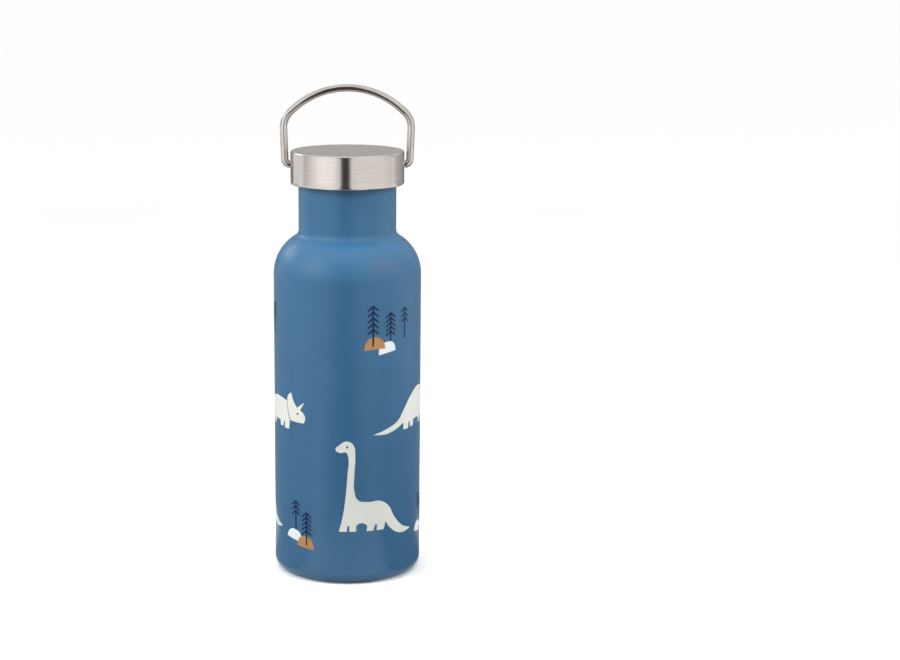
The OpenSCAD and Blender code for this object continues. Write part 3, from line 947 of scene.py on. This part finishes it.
HORNED_BODY = [
    (9.4, 86.1, 0), (4.0, 87.0), (-4.5, 86.4), (-11.0, 82.6), (-17.0, 77.6), (-24.0, 75.0, 0), (-17.4, 74.6),
    (-11.2, 76.4, 0), (-11.4, 72.7, 0), (-7.8, 72.7, 0), (-7.4, 76.0, 0), (-6.2, 76.0, 0), (-5.6, 73.2, 0),
    (-2.8, 73.2, 0), (-2.2, 75.9, 0), (3.2, 75.7, 0), (3.6, 73.2, 0), (6.2, 73.2, 0), (6.8, 75.7, 0),
    (7.8, 75.6, 0), (7.8, 72.7, 0), (11.2, 72.7, 0), (11.8, 76.8, 0), (10.4, 80.4),
]
HORNED_HEAD = [
    (9.9, 85.9), (10.4, 88.6), (12.9, 90.6, 0), (14.2, 87.4), (16.8, 83.8, 0), (21.4, 87.0, 0),
    (18.8, 82.9, 0), (20.9, 81.4), (21.8, 79.4), (21.0, 76.9, 0), (15.6, 76.9), (12.3, 77.2, 0),
    (10.9, 80.6),
]
ARCHED = [
    (-24.4, 72.4, 0), (-17.0, 74.7), (-10.6, 77.8), (-6.4, 82.6), (-1.4, 87.8), (6.0, 91.4), (13.0, 90.4),
    (18.2, 87.2), (22.6, 87.7), (26.8, 86.0), (28.8, 83.2), (26.8, 81.2), (21.8, 81.2), (18.0, 79.0, 0),
    (17.2, 72.7, 0), (13.6, 72.7, 0), (12.8, 76.6, 0), (11.6, 76.6, 0), (11.0, 73.2, 0), (8.2, 73.2, 0),
    (7.6, 76.4, 0), (1.6, 76.2, 0), (1.2, 73.2, 0), (-1.6, 73.2, 0), (-1.8, 76.0, 0), (-2.8, 75.9, 0),
    (-3.2, 72.7, 0), (-6.8, 72.7, 0), (-7.0, 76.2, 0), (-11.4, 74.0), (-17.6, 72.2),
]
MOUND = [(-5.3, 0.0, 0), (-4.5, 3.3), (-1.9, 5.6), (1.8, 5.6), (4.4, 3.4), (5.3, 0.2, 0)]
SMALL_MOUND = [(-4.7, 0.0, 0), (-3.7, 3.4), (-0.8, 5.3), (2.4, 4.8), (4.3, 2.6), (5.0, -0.6, 0)]
STONE = [(-4.6, -0.6, 0), (-4.1, 2.4), (-2.2, 4.5), (0.9, 5.3), (3.6, 4.3), (4.8, 0.7, 0)]

CREAM = linear(214, 217, 209)
CHALK = linear(224, 228, 231)
OCHRE = linear(176, 127, 78)
NAVY = linear(3, 26, 68)


def fir(height, half_width, tiers, pitch, line):
    """A fir drawn as a trunk with slanting branches in tiers, from its top at z = 0 downwards."""
    drop = half_width * 0.85
    near_trunk = drop * line / 2 / half_width
    right = [(0.0, 0.0, 0)]
    for tier in range(tiers):
        top = -tier * pitch
        if tier:
            right += [(line / 2, top - near_trunk, 0)]
        right += [
            (half_width, top - drop, 0),
            (half_width - line * 0.6, top - drop - line * 0.6, 0),
            (line / 2, top - near_trunk - line * 1.3, 0),
        ]
    right += [(line / 2, -height, 0)]
    left = [(-x, z, corner) for x, z, corner in right[:0:-1]]
    return right + left


def flat_shape(name, outline, step=1.0):
    """A filled shape that stands in the plane of x and z, cut across so that it can follow the wall."""
    deselect_all()
    curve = bpy.data.curves.new(name, "CURVE")
    curve.dimensions = "2D"
    curve.fill_mode = "BOTH"
    curve.resolution_u = 8
    spline = curve.splines.new("BEZIER")
    spline.bezier_points.add(len(outline) - 1)
    spline.use_cyclic_u = True
    for point, (x, z, *corner) in zip(spline.bezier_points, outline, strict=True):
        point.co = (x * MM, z * MM, 0)
        point.handle_left_type = point.handle_right_type = "VECTOR" if corner else "AUTO"
    piece = bpy.data.objects.new(name, curve)
    bpy.context.collection.objects.link(piece)
    piece.select_set(True)
    bpy.context.view_layer.objects.active = piece
    bpy.ops.object.convert(target="MESH")
    piece = bpy.context.object
    piece.rotation_euler = (math.pi / 2, 0, 0)
    bpy.ops.object.transform_apply(location=True, rotation=True, scale=True)
    places = [x for x, *_ in outline]
    bpy.ops.object.mode_set(mode="EDIT")
    cut_x = math.ceil(min(places) / step) * step
    while cut_x < max(places):
        bpy.ops.mesh.select_all(action="SELECT")
        bpy.ops.mesh.bisect(plane_co=(cut_x * MM, 0, 0), plane_no=(1, 0, 0))
        cut_x += step
    bpy.ops.object.mode_set(mode="OBJECT")
    return piece


def wrap(piece, layer, angles):
    """Bends the flat shape round the wall, gives it its thickness and copies it to each angle, in degrees
    from the front. A higher layer lies over a lower one."""
    radius = BODY_R - LAYER_STEP * (TOP_LAYER - layer) - 0.001
    spread = [v.co.x for v in piece.data.vertices]
    bpy.context.view_layer.objects.active = piece
    bend = piece.modifiers.new("bend", "SIMPLE_DEFORM")
    bend.deform_method = "BEND"
    bend.deform_axis = "Z"
    bend.angle = (max(spread) - min(spread)) / (radius * MM)
    film = piece.modifiers.new("film", "SOLIDIFY")
    film.thickness = FILM_T * MM
    film.offset = -1
    deselect_all()
    piece.select_set(True)
    apply_modifiers(piece)
    copies = []
    for angle in angles:
        copy = piece.copy()
        copy.data = piece.data.copy()
        bpy.context.collection.objects.link(copy)
        turn = math.radians(angle)
        copy.location = (radius * MM * math.sin(turn), -radius * MM * math.cos(turn), 0)
        copy.rotation_euler = (0, 0, turn)
        deselect_all()
        copy.select_set(True)
        bpy.context.view_layer.objects.active = copy
        bpy.ops.object.transform_apply(location=True, rotation=True, scale=True)
        copies.append(copy)
    bpy.data.objects.remove(piece)
    return copies


def moved(outline, x, z, lean=0.0):
    """The outline turned by lean degrees and moved."""
    c = math.cos(math.radians(lean))
    s = math.sin(math.radians(lean))
    return [(x + px * c - pz * s, z + px * s + pz * c, *corner) for px, pz, *corner in outline]


def dot(x, z, radius):
    return [(x + radius, z), (x, z + radius), (x - radius, z), (x, z - radius)]


MM_PER_DEGREE = math.radians(1) * BODY_R


def along(angle):
    """Millimetres along the wall for an angle in degrees."""
    return angle * MM_PER_DEGREE


def print_pieces():
    """The whole pattern, one piece for each ink."""
    upper = (33, 150, -93)
    lower = (-41, 79, 199)
    middle = (15, 135, 255)
    dinosaurs = [
        *wrap(flat_shape("long_neck", LONG_NECK), 1, middle),
        *wrap(flat_shape("horned_body", HORNED_BODY), 1, (-70, 180)),
        *wrap(flat_shape("horned_head", HORNED_HEAD), 1, (-70, 180)),
        *wrap(flat_shape("arched", ARCHED), 1, (60,)),
    ]
    eyes = [
        *wrap(flat_shape("eye", dot(-9.3, 67.2, 0.5)), 3, middle),
        *wrap(flat_shape("eye", dot(17.2, 81.0, 0.5)), 3, (-70, 180)),
        *wrap(flat_shape("eye", dot(24.4, 85.2, 0.5)), 3, (60,)),
    ]
    stones = [
        *wrap(flat_shape("stone", moved(STONE, along(-1.0), 110.9, 2)), 1, upper),
        *wrap(flat_shape("stone", moved(STONE, along(-6.0), 19.6, -18)), 1, lower),
    ]
    mounds = [
        *wrap(flat_shape("mound", moved(MOUND, along(-11.5), 112.9, 1)), 2, upper),
        *wrap(flat_shape("mound", moved(SMALL_MOUND, along(6.0), 16.9, -2)), 2, lower),
    ]
    firs = [
        *wrap(flat_shape("fir", moved(fir(19.4, 3.0, 5, 2.7, 0.88), along(-13.1), 133.9)), 3, upper),
        *wrap(flat_shape("fir", moved(fir(13.4, 2.9, 5, 2.1, 0.8), along(1.9), 130.0)), 3, upper),
        *wrap(flat_shape("fir", moved(fir(15.1, 2.6, 3, 2.4, 0.72), along(16.6), 131.5)), 3, upper),
        *wrap(flat_shape("fir", moved(fir(14.6, 2.8, 3, 2.3, 0.8), along(-3.1), 39.0)), 3, lower),
        *wrap(flat_shape("fir", moved(fir(16.4, 2.9, 5, 2.15, 0.84), along(7.6), 34.3)), 3, lower),
    ]
    inks = [
        ("print_dinosaurs", dinosaurs, CREAM_INK),
        ("print_eyes", eyes, NAVY_INK),
        ("print_stones", stones, CHALK_INK),
        ("print_mounds", mounds, OCHRE_INK),
        ("print_firs", firs, NAVY_INK),
    ]
    for name, shapes, material in inks:
        piece = joined(name, shapes)
        finish_mesh(piece, 60, merge=0.0001)
        coat(piece, material)
        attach(piece, "bottle")


# ---------------------------------------------------------------------------------------------------------
# Putting it together
# ---------------------------------------------------------------------------------------------------------

PAINTED = powder_coat()
LINER_STEEL = brushed_round("liner_steel", BARE_STEEL, 0.22, 0.34)
SPUN_STEEL = brushed_round("spun_steel", linear(188, 183, 179), 0.25, 0.38)
LID_STEEL = lid_steel()
WIRE_STEEL = wire_steel()
WHITE_PLASTIC = moulded_plastic()
SILICONE = silicone()
CREAM_INK = ink("cream_ink", CREAM)
CHALK_INK = ink("chalk_ink", CHALK)
OCHRE_INK = ink("ochre_ink", OCHRE)
NAVY_INK = ink("navy_ink", NAVY)

for make, body, node in [
    (outer_shell, "bottle", "outer_shell"),
    (outer_base, "bottle", "outer_base"),
    (base_plate, "bottle", "base_plate"),
    (inner_liner, "bottle", "inner_liner"),
    (liner_base, "bottle", "liner_base"),
    (lid_gasket, "gasket", "lid_gasket"),
    (lid_shell, "lid", "lid_shell"),
    (lid_core, "lid", "lid_core"),
    (plug_cover, "lid", "plug_cover"),
    (handle, "handle", "handle"),
]:
    made = make()
    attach(made, body)
    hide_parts(node)

print_pieces()

for node, material in [
    ("vacuum_seal", seal_glass()),
    ("getter_pellet", sintered_metal()),
    ("getter_clip", SPUN_STEEL),
    ("lid_foam", rigid_foam()),
]:
    coat(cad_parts[node], material)

# ---------------------------------------------------------------------------------------------------------
# Studio: a white floor, soft light, cards round the bottle for its reflections, and the camera
# ---------------------------------------------------------------------------------------------------------

bpy.context.scene.view_settings.view_transform = "Standard"
# The cards on the floor lie a hair above it. All sizes from here on are in metres.
CARD_Z = 0.0005
VIEW_DOWN = 11.52


def studio_floor():
    deselect_all()
    bpy.ops.mesh.primitive_plane_add(size=80, location=(0, 0, 0))
    floor = bpy.context.object
    floor.name = "floor"
    finish = Finish("floor_white", {"Base Color": (0.93, 0.93, 0.93, 1), "Roughness": 0.7})
    coat(floor, finish.material)
    floor.visible_diffuse = False


def reflector(name, corners, glow, far_glow=None):
    """A card that shows only in reflections. Its brightness runs from its first and last corner to the two
    between them."""
    far_glow = glow if far_glow is None else far_glow
    mesh = bpy.data.meshes.new(name)
    mesh.from_pydata(corners, [], [(0, 1, 2, 3)])
    strength = mesh.color_attributes.new("glow", "FLOAT_COLOR", "POINT")
    for corner, value in zip(strength.data, (glow, far_glow, far_glow, glow), strict=True):
        corner.color = (value, value, value, 1)
    card = bpy.data.objects.new(name, mesh)
    bpy.context.collection.objects.link(card)
    finish = Finish(name, {"Base Color": (0, 0, 0, 1), "Specular IOR Level": 0, "Roughness": 1.0})
    finish.shader.inputs["Emission Strength"].default_value = 1
    finish.drive("Emission Color", finish.add("ShaderNodeAttribute", {"attribute_name": "glow"}))
    coat(card, finish.material)
    card.visible_camera = False
    card.visible_diffuse = False
    card.visible_shadow = False
    card.visible_transmission = False


def floor_card(name, places, glow, far_glow=None):
    """A card that lies on the floor, through four places in x and y."""
    reflector(name, [(x, y, CARD_Z) for x, y in places], glow, far_glow)


def wall(name, start, end, foot, top, glow, far_glow=None):
    """An upright card between two places on the floor."""
    reflector(name, [(*start, foot), (*end, foot), (*end, top), (*start, top)], glow, far_glow)


def area_light(name, place, target, width, height, power, spread):
    light = bpy.data.lights.new(name, "AREA")
    light.shape = "RECTANGLE"
    light.size = width
    light.size_y = height
    light.energy = power
    light.spread = math.radians(spread)
    lamp = bpy.data.objects.new(name, light)
    bpy.context.collection.objects.link(lamp)
    lamp.location = place
    lamp.rotation_euler = (Vector(target) - Vector(place)).to_track_quat("-Z", "Y").to_euler()
    lamp.visible_glossy = False


def sky_light(strength):
    """Soft light from straight above, which makes the floor evenly bright."""
    light = bpy.data.lights.new("sky_light", "SUN")
    light.energy = strength
    light.angle = 0.9
    lamp = bpy.data.objects.new("sky_light", light)
    bpy.context.collection.objects.link(lamp)
    lamp.visible_glossy = False


def white_world(strength):
    world = bpy.data.worlds.new("studio")
    bpy.context.scene.world = world
    world.use_nodes = True
    world.node_tree.nodes["Background"].inputs["Color"].default_value = (1, 1, 1, 1)
    world.node_tree.nodes["Background"].inputs["Strength"].default_value = strength


def camera():
    """The camera stands in front, a little above the lid, and looks slightly down."""
    lens = bpy.data.cameras.new("camera")
    lens.sensor_width = 36
    lens.lens = 81.2
    lens.shift_x = 0.114
    lens.shift_y = 0.0094
    eye = bpy.data.objects.new("camera", lens)
    bpy.context.collection.objects.link(eye)
    eye.location = (0, -0.9487, 0.305)
    eye.rotation_euler = (math.radians(90 - VIEW_DOWN), 0, 0)
    bpy.context.scene.camera = eye


studio_floor()
white_world(0.52)
sky_light(1.9)
floor_card("dark_gap", [(-0.11, -0.12), (0.11, -0.12), (0.12, -1.35), (-0.3, -1.35)], 0.04)
wall("dark_wall", (-0.3, -1.35), (0.12, -1.35), 0, 1.6, 0.04)
wall("left_wall", (-0.55, -1.12), (-0.45, -1.2), 0, 1.2, 1.35, 1.1)
wall("left_wall_middle", (-1.0, -0.65), (-0.55, -1.12), 0, 1.2, 1.4, 1.35)
wall("left_wall_end", (-1.25, 0.1), (-1.0, -0.65), 0, 1.2, 0.6, 1.4)
wall("left_strip", (-1.15, 0.3), (-1.25, 0.1), 0, 1.2, 1.15, 0.6)
wall("right_wall", (0.2, -1.3), (1.15, -0.35), 0, 1.2, 1.05, 1.05)
wall("right_wall_end", (1.15, -0.35), (1.2, 0.25), 0, 1.2, 1.05, 0.85)
floor_card("left_shade", [(-0.09, 0.05), (-1.13, 0.65), (-0.34, 1.26), (-0.03, 0.1)], 0.45)
floor_card("right_shade", [(0.09, 0.05), (1.12, 0.65), (0.34, 1.26), (0.03, 0.1)], 0.35)
floor_card("left_near", [(-0.03, -0.025), (-0.27, -0.225), (-0.35, -0.012), (-0.038, -0.001)], 0.45, 0.85)
floor_card("left_near_side", [(-0.038, -0.001), (-0.75, -0.024), (-0.65, 0.37), (-0.035, 0.02)], 0.4, 0.6)
floor_card("right_near", [(0.028, -0.028), (0.36, -0.36), (0.5, -0.044), (0.038, -0.003)], 0.15, 0.85)
floor_card("right_near_side", [(0.038, -0.003), (0.5, -0.044), (0.43, 0.245), (0.035, 0.02)], 0.12, 0.75)
wall("left_shade_wall", (-0.84, 1.0), (-0.2, 1.3), 0, 0.45, 0.25)
wall("right_shade_wall", (1.2, 0.4), (0.2, 1.3), 0, 0.45, 0.75, 0.1)
wall("left_box", (-1.25, 0.5), (-0.8, 1.0), 0.5, 1.0, 3.0)
wall("right_box", (1.25, 0.5), (0.8, 1.0), 0.5, 1.0, 1.0)
reflector("top_card", [(-1.5, -1.5, 1.6), (1.5, -1.5, 1.6), (1.5, 1.3, 1.6), (-1.5, 1.3, 1.6)], 1.05)
area_light("left_light", (-0.5, -0.25, 0.48), (0, 0, 0.18), 0.35, 0.4, 1.15, 90)
area_light("right_light", (0.52, -0.2, 0.48), (0, 0, 0.18), 0.35, 0.4, 0.46, 50)
camera()
